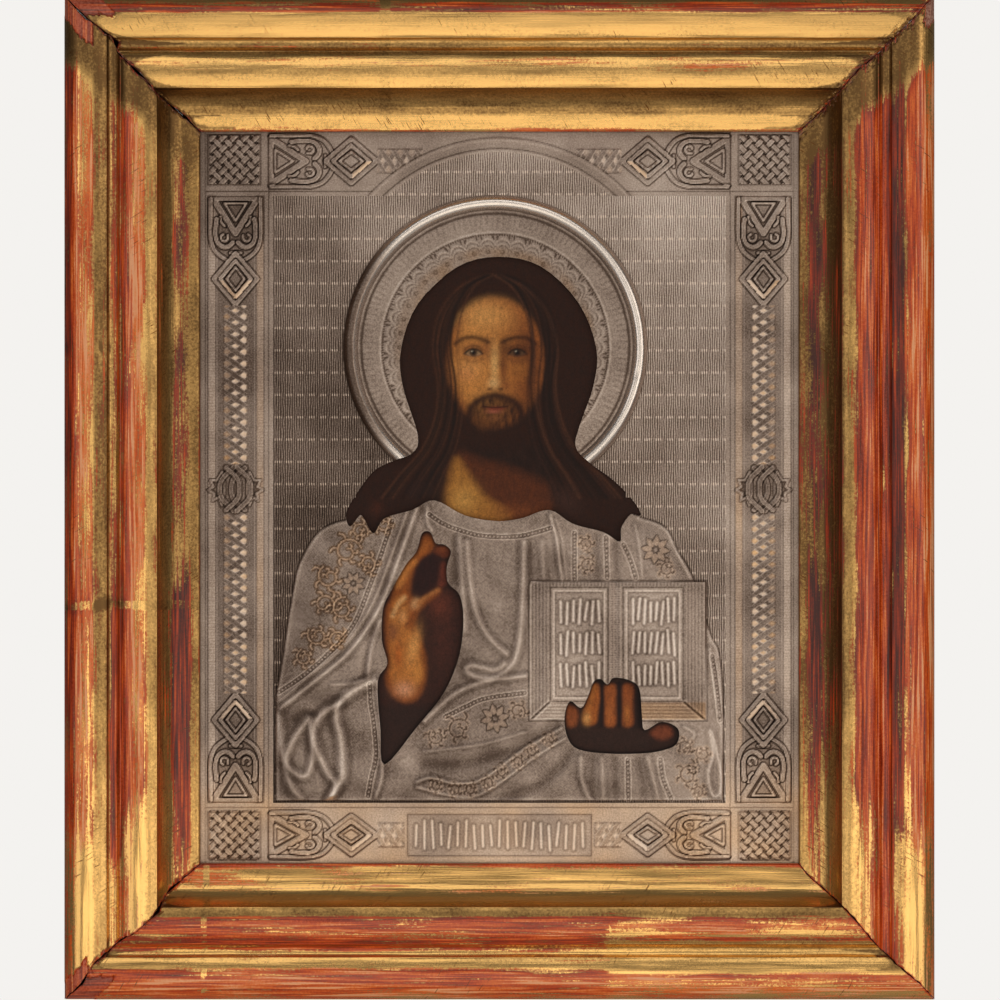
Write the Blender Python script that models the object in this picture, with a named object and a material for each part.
"""A framed icon: four gilded moulding rails, a painted panel, a chased silver cover and its halo.

The icon hangs upright. +Z is up, the front faces -Y, and the origin is the hanging point in the
middle of the top rail's back. Sizes below are millimetres; MM turns them into metres.
Drawing coordinates are (across, up) from the middle of the panel, and depth counts forward from
the wall.
"""

import math

import bmesh
import bpy
import numpy as np
from mathutils import Vector
from mathutils.geometry import delaunay_2d_cdt

MM = 0.001

# Frame
SIGHT_HALF_W = 108.0
SIGHT_HALF_H = 132.0
RAIL_WIDTH = 48.0
RAIL_DEPTH = 43.0
LIP_OVERLAP = 4.6
LIP_FRONT = 28.6
HANG_HEIGHT = SIGHT_HALF_H + 26.0
MITRE_GAP = 0.25
RAIL_SHARP = 26

# Section of the moulding, as (distance out from the sight edge, depth). Each arc has its centre, its
# radii, its first and last angle in degrees and its steps.
SIGHT_EDGE = ((0.0, LIP_FRONT - 0.5), (0.4, LIP_FRONT))
COVE = ((4.2, 40.5), (10.2, 11.0), 275, 352, 7)
INNER_ROLL = ((20.5, RAIL_DEPTH - 5.5), (8.5, 5.0), 135, 35, 8)
VALLEY = ((30.2, 41.2), (2.6, 2.8), 200, 335, 5)
OUTER_ROLL = ((40.2, RAIL_DEPTH - 4.2), (9.5, 4.2), 145, 90, 4)
OUTER_ROUND = ((40.2, RAIL_DEPTH - 7.0), (RAIL_WIDTH - 40.2, 7.0), 76, 0, 5)
BACK_EDGE = ((RAIL_WIDTH, 3.0), (RAIL_WIDTH - 0.8, 0.0))
# Panel and cover, as depths from the wall
BOARD_HALF_W = 111.0
BOARD_HALF_H = 135.0
BOARD_BACK = 3.0
BOARD_FRONT = 23.0
BOARD_EDGE = 1.2
CLEARANCE = 0.3
SHEET = 0.8
COVER_BACK = BOARD_FRONT + CLEARANCE
COVER_FRONT = COVER_BACK + SHEET
COVER_HALF_W = BOARD_HALF_W + CLEARANCE + SHEET
COVER_HALF_H = BOARD_HALF_H + CLEARANCE + SHEET
SKIRT_DEPTH = 15.0
RABBET_FLOOR = COVER_FRONT + CLEARANCE

# Bands of the cover's border, measured across from the middle
FIELD_HALF_W = 81.8
HATCH_INNER = (85.1, 88.0)
PLAIT_BAND = (90.9, 99.9)
HATCH_OUTER = (102.5, 105.5)
SIDE_CENTRE = 0.5 * (PLAIT_BAND[0] + PLAIT_BAND[1])
FIELD_TOP = 109.0
TOP_BAND = (112.0, 131.2)
FIELD_BOTTOM = -110.4
BOTTOM_BAND = (-130.4, -113.6)
BAND_STEP = 0.7
EDGE_SLOPE = 0.5
REST_INSET = 1.0

# Straps of the knotwork
STRAP_HALF = 0.9
STRAP_HIGH = 1.1

# One run of ornament, from a corner square towards the middle of its band: places along the run,
# then sizes across it, which shrink with a band narrower than the side bands
RUN_HALF = 9.2
RUN_START = 83.6
TRIANGLE = (0.9, 13.6, 7.9)
CURL_PLACE = (17.0, 3.6)
CURL_RADIUS = 5.0
CURL_ANGLES = (10, 260)
CURL_STEPS = 6
CURL_TIGHTENS = 0.55
LOZENGE_PLACE = 30.0
LOZENGES = ((9.2, 7.6), (4.3, 3.1))
PLAIT_START = 39.4
PLAIT_REACH = 3.6
PLAIT_PITCH = 4.3
TOP_PLAIT_END = 56.0
BOTTOM_PLAIT_END = 49.5

# Device at the middle of each side: its place up, how far it reaches, and its two lozenges
DEVICE_UP = 3.1
DEVICE_REACH = 8.4
DEVICE_RINGS = ((9.6, 4.4), (4.4, 7.6))

# Corner squares of basket weave, as low x, high x, low z, high z on the left side
UPPER_CORNER = (-105.3, -86.8, 113.4, 131.0)
LOWER_CORNER = (-105.3, -86.8, -130.2, -113.8)
BASKET_LINES = 3
BASKET_INSET = 0.04
# Arch over the halo
ARCH_CENTRE = (0.0, 66.0)
ARCH_RADII = (59.2, 63.0)
ARCH_HIGH = 0.5
ARCH_STEPS = 12
# Halo
HALO_CENTRE = (-1.5, 54.2)
HALO_RADIUS = 55.1
HALO_RIM = 5.4
HALO_RIM_HIGH = 2.6
HALO_BACK = COVER_FRONT + CLEARANCE
HALO_SHEET = 0.7
BEAD_RADIUS = 40.6
BEAD_HALF = 0.9
BEAD_HIGH = 0.6
TICK_BAND = (42.8, 47.2)
TICK_HIGH = 0.5
TICK_INSET = 0.5
TICK_HALF_SHARE = 0.15
TICKS = 44
HALO_SIDES = 96
RIM_BENDS = (0.12, 0.38, 0.62, 0.88, 1.0)
# Openings in the cover, cut along the painted hair, hand and fingers
HEAD_OPENING = (
    (-0.5, 87.0), (-15.5, 83.2), (-29.5, 70.0), (-35.5, 54.0), (-35.0, 40.5), (-29.5, 22.5),
    (-31.5, 16.0), (-39.0, 13.0), (-46.0, 9.0), (-53.5, -1.5), (-55.5, -6.5), (-54.0, -10.5),
    (-50.5, -6.5), (-49.0, -7.5), (-45.5, -13.0), (-41.5, -7.5), (-31.5, -4.5), (-23.5, -1.0),
    (-12.5, -6.5), (-1.0, -8.5), (8.0, -7.5), (18.0, -4.5), (26.5, -9.5), (37.5, -12.5),
    (43.5, -16.0), (44.0, -11.0), (47.5, -6.0), (51.0, -6.5), (49.0, -2.0), (41.5, 6.0),
    (32.0, 13.0), (27.5, 18.5), (29.0, 26.0), (34.0, 40.5), (35.0, 54.0), (28.5, 70.5),
    (15.0, 83.5),
)
HAND_OPENING = (
    (-28.0, -13.0), (-25.0, -12.5), (-23.0, -16.5), (-20.0, -17.0), (-17.5, -19.5), (-19.0, -25.0),
    (-18.5, -31.0), (-14.5, -35.0), (-13.0, -43.5), (-14.5, -57.0), (-20.0, -70.5), (-29.5, -82.5),
    (-41.5, -96.5), (-43.0, -83.5), (-44.0, -66.5), (-40.5, -60.0), (-42.5, -51.5), (-42.0, -40.0),
    (-39.0, -33.5), (-34.0, -24.5), (-30.0, -19.5),
)
FINGER_OPENING = (
    (23.5, -79.0), (25.5, -73.5), (29.5, -76.0), (32.0, -71.5), (34.0, -66.5), (36.5, -65.5),
    (39.0, -67.5), (40.5, -65.5), (42.5, -65.0), (47.0, -66.0), (50.5, -69.0), (51.5, -79.0),
    (52.5, -84.0), (58.5, -81.0), (64.5, -83.5), (64.0, -89.0), (58.5, -91.5), (50.5, -92.5),
    (39.0, -92.5), (28.5, -91.0), (24.5, -86.5),
)

# Outline of the robe against the field
ROBE_LEFT = (
    (-55.5, -8.0), (-61.0, -9.5), (-66.5, -13.5), (-72.5, -24.0), (-75.5, -38.0), (-78.0, -55.0),
    (-79.5, -64.0), (-81.0, -76.0), (-81.0, FIELD_BOTTOM + 0.8),
)
ROBE_RIGHT = (
    (51.0, -7.0), (60.0, -10.5), (64.5, -19.0), (70.0, -28.5), (76.5, -49.5), (79.5, -56.0),
    (81.0, -73.0), (81.0, FIELD_BOTTOM + 0.8),
)
ROBE_NECK = (0.0, 12.0)
ROBE_RISE = 7.0
ROBE_BEND = 3.4
ROBE_EDGE_HIGH = 0.7
ROBE_HIGH = 2.2
FOLD_FADE = 2.0
# Folds and hems of the robe: half width, height and the line of the crest
FOLDS = (
    (1.5, 1.2, ((-30.5, -5.0), (-33.5, -14.5), (-38.0, -26.0), (-43.5, -37.0), (-57.0, -57.0),
                (-71.0, -68.0), (-79.5, -76.5))),
    (0.9, 0.6, ((-38.5, -10.0), (-44.5, -26.0), (-51.5, -42.0), (-62.5, -58.0), (-77.5, -69.0))),
    (1.8, 1.0, ((-78.5, -81.0), (-78.5, -95.0), (-73.0, -108.0))),
    (1.8, 1.1, ((-68.0, -81.5), (-74.5, -91.0), (-69.5, -101.5), (-67.0, -90.5), (-67.5, -83.0))),
    (1.9, 1.2, ((-56.5, -75.0), (-66.0, -85.5), (-64.5, -93.0), (-60.0, -104.0), (-64.0, -108.5))),
    (1.9, 1.2, ((-46.5, -67.5), (-56.5, -73.5), (-58.5, -78.5), (-57.0, -96.5), (-60.0, -108.0))),
    (1.2, 0.9, ((-45.8, -70.0), (-46.0, -86.0), (-45.0, -98.0), (-47.0, -108.5))),
    (1.2, 0.8, ((-24.0, -7.5), (-15.0, -11.5), (-1.0, -14.0), (10.5, -12.8), (20.0, -9.8))),
    (1.6, 0.9, ((-14.0, -14.5), (-13.0, -27.0), (-11.0, -36.0), (-6.5, -45.5), (3.0, -56.5))),
    (1.6, 1.0, ((9.0, -16.5), (8.0, -25.0), (7.0, -39.0), (6.0, -51.5), (3.0, -58.5), (-4.0, -62.0),
                (-11.0, -60.0))),
    (1.4, 0.8, ((17.0, -14.5), (16.0, -31.0))),
    (1.3, 0.9, ((21.5, -11.5), (23.5, -27.5))),
    (1.3, 0.8, ((39.5, -16.0), (40.5, -27.5))),
    (1.3, 0.9, ((46.5, -12.0), (50.5, -21.0), (51.5, -27.5))),
    (1.4, 1.1, ((-26.0, -82.5), (-19.5, -74.5), (-10.5, -68.8), (-1.0, -66.0), (8.5, -64.8))),
    (1.2, 0.7, ((-25.0, -90.8), (-15.0, -89.5), (-1.0, -86.5), (8.5, -83.5))),
    (1.3, 1.0, ((-27.5, -100.5), (-13.5, -102.0), (-1.0, -98.5), (8.0, -94.0), (20.0, -86.5))),
    (1.3, 0.8, ((-27.5, -105.5), (-13.5, -108.0), (-1.0, -105.0), (8.0, -100.0), (22.0, -90.5))),
    (1.5, 1.0, ((31.0, -95.0), (24.0, -103.0), (12.0, -109.0))),
    (1.7, 1.0, ((38.0, -95.5), (37.5, -109.0))),
    (1.7, 1.0, ((46.0, -95.5), (47.0, -109.0))),
    (1.5, 0.9, ((55.5, -94.5), (57.5, -101.5), (62.0, -109.0))),
    (1.1, 0.8, ((76.0, -54.0), (77.5, -70.0), (80.0, -82.0))),
    (1.5, 1.0, ((76.5, -83.0), (74.5, -97.0), (77.5, -106.5), (80.0, -97.0), (78.0, -86.0))),
)

# Book: outer block, the two page frames, the gutter and the slanted fore edges
BOOK = (9.5, 75.5, -79.5, -29.5)
BOOK_GUTTER = 42.5
GUTTER_HALF = 1.9
GUTTER_SINK = 0.9
PAGES = ((17.8, 40.6), (44.4, 67.2))
PAGE_TOP = -31.0
PAGE_BOTTOM = -74.5
BOOK_HIGH = 3.4
BOOK_EDGE_HIGH = 2.4
FORE_EDGE = 7.5
PAGE_SINK = 0.5
PAGE_FRAME = 1.6

# How close two drawn points may come before they are one
MERGE = 0.02
ON_EDGE = 0.01
def material(name, colour, roughness, metallic):
    """A plain finish with its colour as linear red, green and blue."""
    made = bpy.data.materials.new(name)
    made.use_nodes = True
    shader = made.node_tree.nodes["Principled BSDF"]
    shader.inputs["Base Color"].default_value = (*colour, 1.0)
    shader.inputs["Roughness"].default_value = roughness
    shader.inputs["Metallic"].default_value = metallic
    return made


def world(across, up, depth):
    """A point of the drawing, moved to the object's own frame in metres."""
    return Vector((across, -depth, up - HANG_HEIGHT)) * MM


def add_object(name, bm, finish, sharp_degrees):
    """Turns a finished bmesh into an object, smooth where its faces meet gently."""
    mesh = bpy.data.meshes.new(name)
    bm.to_mesh(mesh)
    bm.free()
    mesh.materials.append(finish)
    mesh.shade_smooth()
    mesh.set_sharp_from_angle(angle=math.radians(sharp_degrees))
    obj = bpy.data.objects.new(name, mesh)
    bpy.context.scene.collection.objects.link(obj)
    return obj


def smooth_path(points, closed, steps):
    """A Catmull-Rom curve through the points, with this many steps in each span."""
    count = len(points)
    spans = count if closed else count - 1
    path = []
    for i in range(spans):
        near = [
            points[(i + k) % count] if closed else points[min(max(i + k, 0), count - 1)]
            for k in (-1, 0, 1, 2)
        ]
        a, b, c, d = (np.array(point, float) for point in near)
        for k in range(steps):
            t = k / steps
            path.append(
                0.5 * (2 * b + (c - a) * t + (2 * a - 5 * b + 4 * c - d) * t * t
                       + (3 * b - 3 * c + d - a) * t ** 3)
            )
    if not closed:
        path.append(np.array(points[-1], float))
    return np.array(path)


def offset_path(path, distance):
    """The path moved sideways by a distance, square to its own direction."""
    path = np.asarray(path, float)
    along = np.gradient(path, axis=0)
    along /= np.maximum(np.linalg.norm(along, axis=1, keepdims=True), 1e-9)
    return path + distance * np.stack([-along[:, 1], along[:, 0]], axis=1)


def distance_to(path, points):
    """The distance of each point from an open path."""
    nearest = np.full(len(points), 1e9)
    for start, end in zip(path[:-1], path[1:]):
        run = np.asarray(end, float) - start
        t = np.clip((points - start) @ run / max(run @ run, 1e-12), 0, 1)
        gap = points - start - t[:, None] * run
        nearest = np.minimum(nearest, np.hypot(gap[:, 0], gap[:, 1]))
    return nearest


def inside(loop, points):
    """Which points lie in a closed loop, by counting crossings."""
    x, z = points[:, 0], points[:, 1]
    found = np.zeros(len(points), bool)
    for (ax, az), (bx, bz) in zip(loop, np.roll(loop, -1, axis=0)):
        if az == bz:
            continue
        crosses = (az > z) != (bz > z)
        found ^= crosses & (x < ax + (z - az) * (bx - ax) / (bz - az))
    return found


def ramp(value, low, high):
    """0 below low, 1 above high, and an eased curve between."""
    t = np.clip((value - low) / (high - low), 0, 1)
    return t * t * (3 - 2 * t)


def mirrored(paths):
    """The paths and their mirror images, left to right."""
    flip = np.array([-1.0, 1.0])
    return [np.asarray(path, float) for path in paths] + [np.asarray(path) * flip for path in paths]


def diamond(centre, half_w, half_h):
    """A closed lozenge."""
    x, z = centre
    corners = ((x + half_w, z), (x, z + half_h), (x - half_w, z), (x, z - half_h), (x + half_w, z))
    return np.array(corners)


def plait(start, end):
    """Two strands that zigzag across each other along a run."""
    turns = round((end - start) / PLAIT_PITCH)
    along = np.linspace(start, end, turns + 1)
    swing = PLAIT_REACH * (-1.0) ** np.arange(turns + 1)
    return [np.stack([along, sign * swing], axis=1) for sign in (1, -1)]


def curl():
    """A leaf scroll: an arc that tightens as it turns."""
    angles = np.radians(np.linspace(*CURL_ANGLES, CURL_STEPS + 1))
    reach = CURL_RADIUS * (1 - CURL_TIGHTENS * np.linspace(0, 1, CURL_STEPS + 1))
    return np.stack([CURL_PLACE[0] + reach * np.cos(angles),
                     CURL_PLACE[1] + reach * np.sin(angles)], axis=1)


def ornament_run(place, half, plait_end):
    """Straps of one run of ornament, put in place by a function of (along the run, across it)."""
    base, tip, spread = TRIANGLE
    triangle = np.array([(base, -spread), (base, spread), (tip, 0.0), (base, -spread)])
    curls = [curl(), curl() * (1, -1)]
    lozenges = [diamond((LOZENGE_PLACE, 0.0), *halves) for halves in LOZENGES]
    straps = [path * (1, half / RUN_HALF) for path in (triangle, *curls, *lozenges)]
    straps += plait(PLAIT_START, plait_end)
    return [np.array([place(run, side) for run, side in strap]) for strap in straps]


def left_runs():
    """The runs of ornament on the cover's left half."""
    upper_end = FIELD_TOP - DEVICE_UP - DEVICE_REACH
    lower_end = DEVICE_UP - DEVICE_REACH - FIELD_BOTTOM
    straps = ornament_run(lambda run, side: (side - SIDE_CENTRE, FIELD_TOP - run), RUN_HALF, upper_end)
    straps += ornament_run(lambda run, side: (side - SIDE_CENTRE, FIELD_BOTTOM + run), RUN_HALF,
                           lower_end)
    for (low, high), end in ((TOP_BAND, TOP_PLAIT_END), (BOTTOM_BAND, BOTTOM_PLAIT_END)):
        middle, half = 0.5 * (low + high), 0.5 * (high - low)
        straps += ornament_run(lambda run, side: (run - RUN_START, middle + side), half, end)
    return straps


def in_corner(corner, places):
    """Places given as shares of a corner square, as points of the drawing."""
    low = np.array((corner[0], corner[2]))
    size = np.array((corner[1], corner[3])) - low
    return [low + size * place for place in places]


def basket(corner):
    """The straps of a square of diagonal basket weave."""
    straps = []
    for k in range(BASKET_LINES + 1):
        t = k / BASKET_LINES
        ends = ((0, t), (t, 0)), ((t, 1), (1, t)), ((0, t), (1 - t, 1)), ((t, 0), (1, 1 - t))
        straps += [in_corner(corner, pair) for pair in ends if pair[0] != pair[1]]
    return straps


def basket_grounds(corner):
    """The middle of each cell between the straps of a basket weave."""
    cells = []
    for i in range(2 * BASKET_LINES):
        for j in range(-BASKET_LINES, BASKET_LINES):
            total, difference = (i + 0.5) / BASKET_LINES, (j + 0.5) / BASKET_LINES
            place = (0.5 * (total + difference), 0.5 * (total - difference))
            if min(place) > BASKET_INSET and max(place) < 1 - BASKET_INSET:
                cells.append(place)
    return in_corner(corner, cells)


def knotwork():
    """Every strap of the border."""
    device = [diamond((-SIDE_CENTRE, DEVICE_UP), *halves) for halves in DEVICE_RINGS]
    corners = basket(UPPER_CORNER) + basket(LOWER_CORNER)
    return mirrored(left_runs() + device + corners)
def rectangle(low_x, high_x, low_z, high_z):
    """The closed outline of a rectangle."""
    corners = ((low_x, low_z), (high_x, low_z), (high_x, high_z), (low_x, high_z), (low_x, low_z))
    return np.array(corners, float)


def hatched_strips():
    """The raised strips beside the side plaits, as rectangles."""
    strips = []
    for low, high in (HATCH_INNER, HATCH_OUTER):
        for sign in (-1, 1):
            edges = sorted((sign * low, sign * high))
            strips.append((*edges, FIELD_BOTTOM, FIELD_TOP))
    return strips


def arch_lines():
    """The two arcs that rise from the field's top line into the top band."""
    lines = []
    for radius in ARCH_RADII:
        spread = math.acos((FIELD_TOP - ARCH_CENTRE[1]) / radius)
        angles = np.linspace(-spread, spread, ARCH_STEPS + 1)
        lines.append(np.stack([ARCH_CENTRE[0] + radius * np.sin(angles),
                               ARCH_CENTRE[1] + radius * np.cos(angles)], axis=1))
    return lines


def robe_loop():
    """The closed outline of the robe, shut across the head opening."""
    left = smooth_path(ROBE_LEFT, False, 2)
    right = smooth_path(ROBE_RIGHT, False, 2)
    return np.concatenate([left, right[::-1], [ROBE_NECK]])
def grown(box, by):
    """A box of low x, high x, low z, high z made larger all round, or smaller by a negative size."""
    return box[0] - by, box[1] + by, box[2] - by, box[3] + by
def box_depth(points, box):
    """How far each point is inside a box, negative outside."""
    x, z = points[:, 0], points[:, 1]
    return np.minimum(np.minimum(x - box[0], box[1] - x), np.minimum(z - box[2], box[3] - z))


def border_height(points, straps):
    """Height of the border's strips and straps over the flat sheet."""
    high = np.zeros(len(points))
    for box in hatched_strips():
        high = np.maximum(high, BAND_STEP * np.clip(box_depth(points, box) / EDGE_SLOPE, 0, 1))
    for strap in straps:
        near = np.clip(1 - distance_to(strap, points) / STRAP_HALF, 0, 1)
        high = np.maximum(high, STRAP_HIGH * near)
    for line in arch_lines():
        near = np.clip(1 - distance_to(line, points) / STRAP_HALF, 0, 1)
        high = np.maximum(high, ARCH_HIGH * near)
    return high


def robe_height(points):
    """Height of the robe and its folds, zero outside its outline."""
    edge = np.minimum(distance_to(smooth_path(ROBE_LEFT, False, 2), points),
                      distance_to(smooth_path(ROBE_RIGHT, False, 2), points))
    edge = np.minimum(edge, points[:, 1] - FIELD_BOTTOM)
    swell = ROBE_EDGE_HIGH * np.clip(edge / EDGE_SLOPE, 0, 1)
    swell = swell + (ROBE_HIGH - ROBE_EDGE_HIGH) * ramp(edge, EDGE_SLOPE, ROBE_RISE)
    folds = np.zeros(len(points))
    for half_width, height, crest in FOLDS:
        near = distance_to(smooth_path(crest, False, 3), points)
        folds = np.maximum(folds, height * ramp(half_width - near, 0, half_width))
    return np.where(inside(robe_loop(), points), swell + folds * ramp(edge, 0, FOLD_FADE), 0)


def book_height(points):
    """Height of the open book, minus one outside it."""
    pages = (PAGES[0][0], PAGES[1][1], PAGE_BOTTOM, PAGE_TOP)
    slope = ramp(-box_depth(points, pages), 0, FORE_EDGE)
    high = BOOK_HIGH - (BOOK_HIGH - BOOK_EDGE_HIGH) * slope
    from_gutter = np.abs(points[:, 0] - BOOK_GUTTER)
    high = high - GUTTER_SINK * ramp(GUTTER_HALF - from_gutter, 0, GUTTER_HALF)
    for low, far in PAGES:
        leaf = box_depth(points, (low, far, PAGE_BOTTOM, PAGE_TOP))
        high = high - PAGE_SINK * ramp(leaf, PAGE_FRAME - EDGE_SLOPE, PAGE_FRAME)
    return np.where(box_depth(points, BOOK) >= -1e-6, high, -1.0)
def cover_height(points, straps):
    """Height of the whole cover's relief over its flat sheet."""
    high = np.maximum(border_height(points, straps), robe_height(points))
    book = book_height(points)
    return np.where(book > 0, book, high)
def with_feet(path, half_width):
    """A crest line with the lines along its two feet."""
    return [path, offset_path(path, half_width), offset_path(path, -half_width)]


def band_grounds():
    """Flat lines beside the bands, where the knotwork has come back down to the sheet."""
    reach = SIGHT_HALF_W - REST_INSET
    low, high = BOTTOM_BAND[0] - STRAP_HALF, TOP_BAND[1] + STRAP_HALF
    rests = [rectangle(-reach, reach, low, high)]
    for x in (PLAIT_BAND[0] - STRAP_HALF, PLAIT_BAND[1] + STRAP_HALF):
        rests += mirrored([[(x, FIELD_BOTTOM), (x, FIELD_TOP)]])
    for z in (TOP_BAND[0] - STRAP_HALF, BOTTOM_BAND[1] + STRAP_HALF):
        rests.append(np.array([(-reach, z), (reach, z)]))
    return rests


def robe_lines():
    """The bends of the robe: its outline, its swelling edge and its folds."""
    lines = []
    for outline, side in ((ROBE_LEFT, 1), (ROBE_RIGHT, -1)):
        path = smooth_path(outline, False, 2)
        lines.append(path)
        for distance in (EDGE_SLOPE, ROBE_BEND, ROBE_RISE):
            lines.append(offset_path(path, side * distance))
    for half_width, _, crest in FOLDS:
        lines += with_feet(smooth_path(crest, False, 3), half_width)
    for level in (FIELD_BOTTOM, FIELD_BOTTOM + EDGE_SLOPE):
        lines.append(np.array([(-FIELD_HALF_W, level), (FIELD_HALF_W, level)]))
    return lines


def book_lines():
    """The bends of the book: its block, page frames and gutter."""
    lines = [rectangle(*BOOK), rectangle(*grown(BOOK, EDGE_SLOPE))]
    for low, far in PAGES:
        leaf = (low, far, PAGE_BOTTOM, PAGE_TOP)
        lines += [rectangle(*grown(leaf, -inset)) for inset in (0, PAGE_FRAME - EDGE_SLOPE, PAGE_FRAME)]
    for shift in (-GUTTER_HALF, 0.0, GUTTER_HALF):
        lines.append(np.array([(BOOK_GUTTER + shift, BOOK[2]), (BOOK_GUTTER + shift, BOOK[3])]))
    return lines


def cover_lines(straps):
    """Every line that the cover's surface bends along."""
    lines = band_grounds() + robe_lines() + book_lines()
    for box in hatched_strips():
        lines += [rectangle(*box), rectangle(*grown(box, -EDGE_SLOPE))]
    for line in arch_lines():
        lines += with_feet(line, STRAP_HALF)
    return lines + [np.asarray(strap, float) for strap in straps]
# How far beside a strap its ground is caught, as a share of the strap's half width
GROUND_SHARE = 1.15


def strap_grounds(straps):
    """Low points between the straps: inside their bends and beside their middles."""
    grounds = mirrored([basket_grounds(UPPER_CORNER) + basket_grounds(LOWER_CORNER)])
    grounds = [point for group in grounds for point in group]
    for strap in straps:
        strap = np.asarray(strap, float)
        for a, b, c in zip(strap[:-2], strap[1:-1], strap[2:]):
            middle = 0.5 * (a + c)
            if np.linalg.norm(middle - b) > 2 * STRAP_HALF:
                grounds.append(middle)
        for start, end in zip(strap[:-1], strap[1:]):
            run = end - start
            side = np.array([-run[1], run[0]]) / max(np.linalg.norm(run), 1e-9)
            for sign in (1, -1):
                grounds.append(0.5 * (start + end) + sign * STRAP_HALF * GROUND_SHARE * side)
    return grounds
def triangulate(lines, points, epsilon):
    """A triangle mesh that has an edge along every line."""
    flat = []
    edges = []
    for line in lines:
        first = len(flat)
        flat += [Vector((float(x), float(z))) for x, z in line]
        edges += [(i, i + 1) for i in range(first, len(flat) - 1)]
    flat += [Vector((float(x), float(z))) for x, z in points]
    made = delaunay_2d_cdt(flat, edges, [], 0, epsilon)
    return np.array([tuple(point) for point in made[0]]), [tuple(face) for face in made[2]]


def ordered(flat, face, facing):
    """The face's corners, turned so that it faces forward (1) or back (-1)."""
    corners = [flat[index] for index in face]
    turn = np.cross(corners[1] - corners[0], corners[2] - corners[0])
    return face if turn * facing > 0 else face[::-1]


def rim_behind(bm, place, back, skirt):
    """Vertices behind one point of the rim, front to back, and the last one's drawing place.

    On the outer edges the sheet turns back to the skirt's depth and comes forward inside it.
    """
    x, z = place
    on_outside = abs(abs(x) - COVER_HALF_W) < ON_EDGE or abs(abs(z) - COVER_HALF_H) < ON_EDGE
    if skirt is None or not on_outside:
        return [bm.verts.new(world(x, z, back))], place
    inner = (x * (COVER_HALF_W - SHEET) / COVER_HALF_W, z * (COVER_HALF_H - SHEET) / COVER_HALF_H)
    steps = ((place, skirt), (inner, skirt), (inner, back))
    return [bm.verts.new(world(*spot, depth)) for spot, depth in steps], inner


def plate(name, finish, lines, points, keep, height, back, skirt, sharp_degrees):
    """A closed sheet: relief in front, flat behind, open where keep says no.

    A skirt is the depth that the sheet's outer edges turn back to, or None.
    """
    flat, faces = triangulate(lines, points, MERGE)
    kept = keep(np.array([flat[list(face)].mean(axis=0) for face in faces]))
    depths = height(flat)
    bm = bmesh.new()
    front = {}
    for face in (face for face, wanted in zip(faces, kept) if wanted):
        for index in face:
            if index not in front:
                front[index] = bm.verts.new(world(*flat[index], depths[index]))
        bm.faces.new([front[index] for index in ordered(flat, face, 1)])
    place_of = {vert: flat[index] for index, vert in front.items()}
    rim = [edge for edge in bm.edges if len(edge.link_faces) == 1]
    rim_verts = list(dict.fromkeys(vert for edge in rim for vert in edge.verts))
    behind = {vert: rim_behind(bm, place_of[vert], back, skirt) for vert in rim_verts}
    for edge in rim:
        start = edge.link_loops[0].vert
        a, b = edge.other_vert(start), start
        ring_a, ring_b = [a, *behind[a][0]], [b, *behind[b][0]]
        for k in range(len(ring_a) - 1):
            bm.faces.new((ring_a[k], ring_b[k], ring_b[k + 1], ring_a[k + 1]))
    number = {vert: index for index, vert in enumerate(rim_verts)}
    back_points = [Vector(behind[vert][1]) for vert in rim_verts]
    back_edges = [tuple(number[vert] for vert in edge.verts) for edge in rim]
    made = delaunay_2d_cdt(back_points, back_edges, [], 0, 1e-6)
    spots = np.array([tuple(point) for point in made[0]])
    for face in made[2]:
        if keep(spots[list(face)].mean(axis=0)[None])[0]:
            order = ordered(spots, face, -1)
            bm.faces.new([behind[rim_verts[made[3][index][0]]][0][-1] for index in order])
    bmesh.ops.recalc_face_normals(bm, faces=bm.faces)
    bmesh.ops.triangulate(bm, faces=[face for face in bm.faces if len(face.verts) > 3])
    return add_object(name, bm, finish, sharp_degrees)
def arc(centre, radii, start_degrees, end_degrees, steps):
    """Points of an elliptic arc in the rail's section."""
    angles = np.radians(np.linspace(start_degrees, end_degrees, steps + 1))
    return [(centre[0] + radii[0] * math.cos(a), centre[1] + radii[1] * math.sin(a)) for a in angles]


def rail_section():
    """Section of the moulding, from the sight edge outwards: distance out, then depth."""
    section = [(0.0, RABBET_FLOOR), *SIGHT_EDGE]
    for member in (COVE, INNER_ROLL, VALLEY, OUTER_ROLL, OUTER_ROUND):
        section += arc(*member)
    return section + [*BACK_EDGE, (LIP_OVERLAP, 0.0), (LIP_OVERLAP, RABBET_FLOOR)]
# Flakes lost along the open mitres: where across the rail, over what length, and how deep
FLAKES = {
    "top_left": ((8.0, 5.0, 0.9), (21.0, 4.0, 1.4), (31.0, 3.0, 0.8), (41.0, 4.0, 1.3)),
    "top_right": ((12.0, 6.0, 1.1), (24.0, 3.0, 1.5), (33.0, 5.0, 1.0), (41.0, 4.0, 1.2)),
    "bottom_left": ((10.0, 4.0, 0.8), (16.0, 3.0, 1.6), (28.0, 4.0, 1.0), (41.0, 4.0, 1.3)),
    "bottom_right": ((9.0, 5.0, 0.7), (18.0, 4.0, 1.2), (35.0, 6.0, 0.9)),
}


def mitre_gap(corner, out, depth):
    """How far a rail stops short of its corner's diagonal, more where flakes are lost in front."""
    gap = MITRE_GAP
    if depth > RABBET_FLOOR + 1:
        for middle, half, deep in FLAKES[corner]:
            gap += deep * max(0.0, 1 - abs(out - middle) / half)
    return gap


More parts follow.
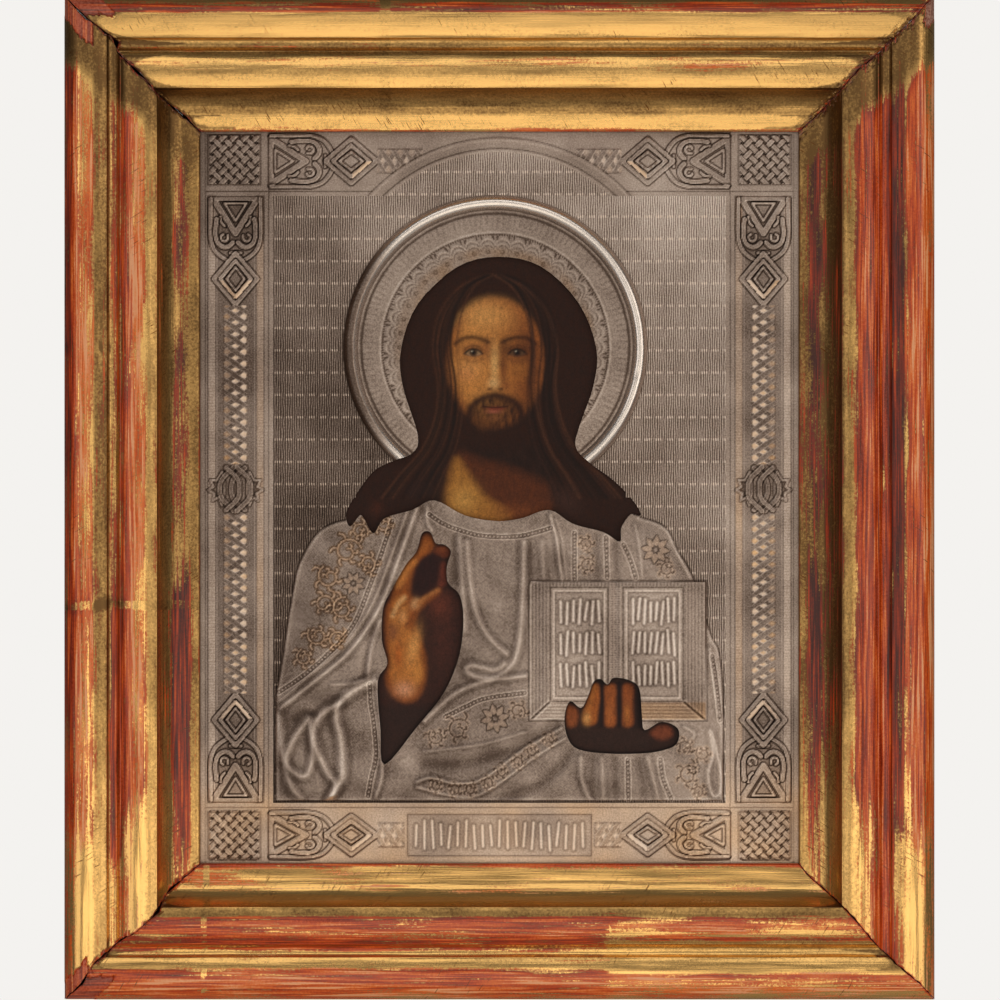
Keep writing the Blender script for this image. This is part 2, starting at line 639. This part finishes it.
def mitred_rail(name, finish, half_length, place, corners):
    """One rail: the section is extruded, then each end is drawn to the diagonal of its corner."""
    bm = bmesh.new()
    section = rail_section()
    verts = [bm.verts.new((0.0, out, depth)) for out, depth in section]
    first = bm.faces.new(verts)
    made = bmesh.ops.extrude_face_region(bm, geom=[first], use_keep_orig=True)["geom"]
    far = {vert for vert in made if isinstance(vert, bmesh.types.BMVert)}
    for vert in bm.verts:
        _, out, depth = vert.co
        corner = corners[1] if vert in far else corners[0]
        reach = half_length + out - mitre_gap(corner, out, depth)
        vert.co.x = reach if vert in far else -reach
    for vert in bm.verts:
        vert.co = place(*vert.co)
    bmesh.ops.recalc_face_normals(bm, faces=bm.faces)
    bmesh.ops.triangulate(bm, faces=[face for face in bm.faces if len(face.verts) > 4])
    return add_object(name, bm, finish, RAIL_SHARP)
def build_frame(finish):
    """The four rails around the sight opening."""
    w, h = SIGHT_HALF_W, SIGHT_HALF_H
    mitred_rail("frame_rail_top", finish, w, lambda a, u, d: world(a, h + u, d),
                ("top_left", "top_right"))
    mitred_rail("frame_rail_bottom", finish, w, lambda a, u, d: world(-a, -h - u, d),
                ("bottom_right", "bottom_left"))
    mitred_rail("frame_rail_left", finish, h, lambda a, u, d: world(-w - u, a, d),
                ("bottom_left", "top_left"))
    mitred_rail("frame_rail_right", finish, h, lambda a, u, d: world(w + u, -a, d),
                ("top_right", "bottom_right"))


def build_board(finish):
    """The wooden panel that carries the painting, with its long edges eased."""
    bm = bmesh.new()
    bmesh.ops.create_cube(bm, size=1.0)
    for vert in bm.verts:
        x, y, z = vert.co
        depth = BOARD_FRONT if y < 0 else BOARD_BACK
        vert.co = world(2 * x * BOARD_HALF_W, 2 * z * BOARD_HALF_H, depth)
    back = [edge for edge in bm.edges if all(v.co.y > -BOARD_FRONT * MM * 0.5 for v in edge.verts)]
    bmesh.ops.bevel(bm, geom=back, offset=BOARD_EDGE * MM, segments=2, profile=0.5,
                    affect="EDGES", material=-1)
    return add_object("icon_board", bm, finish, 40)


def build_cover(finish):
    """The chased sheet over the panel, open at the painted head and hands."""
    straps = knotwork()
    openings = [smooth_path(loop, True, 2) for loop in (HEAD_OPENING, HAND_OPENING, FINGER_OPENING)]
    limits = (-COVER_HALF_W, COVER_HALF_W, -COVER_HALF_H, COVER_HALF_H)
    lines = [rectangle(*limits)] + cover_lines(straps)
    lines += [np.concatenate([loop, loop[:1]]) for loop in openings]

    def keep(points):
        kept = box_depth(points, limits) > 0
        for loop in openings:
            kept &= ~inside(loop, points)
        return kept

    def depth(points):
        return COVER_FRONT + cover_height(points, straps)

    return plate("silver_cover", finish, lines, strap_grounds(straps), keep, depth, COVER_BACK,
                 SKIRT_DEPTH, 24)
def ring(radius, sides, turn=0.0):
    """A closed ring of points round the halo's centre."""
    angles = np.linspace(0, 2 * math.pi, sides + 1) + turn
    return np.stack([HALO_CENTRE[0] + radius * np.cos(angles),
                     HALO_CENTRE[1] + radius * np.sin(angles)], axis=1)


def halo_height(points):
    """Height of the halo over its own flat sheet: rim, ticks and beaded ring."""
    dx, dz = points[:, 0] - HALO_CENTRE[0], points[:, 1] - HALO_CENTRE[1]
    radius = np.hypot(dx, dz)
    middle = HALO_RADIUS - 0.5 * HALO_RIM
    across = np.clip(np.abs(radius - middle) / (0.5 * HALO_RIM), 0, 1)
    rim = HALO_RIM_HIGH * np.sqrt(1 - across ** 2)
    bead = BEAD_HIGH * ramp(BEAD_HALF - np.abs(radius - BEAD_RADIUS), 0, BEAD_HALF)
    turn = np.arctan2(dz, dx) * TICKS / (2 * math.pi)
    on_tick = np.abs(turn - np.round(turn)) < TICK_HALF_SHARE
    on_tick &= (radius > TICK_BAND[0] + ON_EDGE) & (radius < TICK_BAND[1] - ON_EDGE)
    return np.maximum(np.maximum(rim, bead), TICK_HIGH * on_tick)
def build_halo(finish):
    """The halo: a separate plate with a polished rim, lying on the cover round the head."""
    opening = smooth_path(HEAD_OPENING, True, 2)
    outer = ring(HALO_RADIUS, HALO_SIDES)
    lines = [outer, np.concatenate([opening, opening[:1]])]
    for share in RIM_BENDS:
        lines.append(ring(HALO_RADIUS - share * HALO_RIM, HALO_SIDES))
    for shift in (-BEAD_HALF, 0.0, BEAD_HALF):
        lines.append(ring(BEAD_RADIUS + shift, HALO_SIDES // 2))
    for radius in TICK_BAND:
        lines.append(ring(radius, 2 * TICKS, math.pi / (2 * TICKS)))
    ticks = []
    inner, far = TICK_BAND
    for k in range(TICKS):
        angle = 2 * math.pi * k / TICKS
        along = np.array([math.cos(angle), math.sin(angle)])
        for reach in (inner + TICK_INSET, far - TICK_INSET):
            ticks.append(np.array(HALO_CENTRE) + reach * along)

    def keep(points):
        return inside(outer, points) & ~inside(opening, points)

    def depth(points):
        return HALO_BACK + HALO_SHEET + halo_height(points)

    return plate("halo", finish, lines, ticks, keep, depth, HALO_BACK, None, 30)


def clear_scene():
    """Removes whatever the scene holds."""
    for obj in list(bpy.data.objects):
        bpy.data.objects.remove(obj, do_unlink=True)


clear_scene()
build_frame(material("gilded_wood", (0.52, 0.29, 0.07), 0.34, 0.8))
build_board(material("painted_panel_wood", (0.045, 0.022, 0.013), 0.5, 0.0))
build_cover(material("chased_silver", (0.29, 0.25, 0.21), 0.42, 0.9))
build_halo(material("polished_silver", (0.42, 0.38, 0.33), 0.24, 0.95))
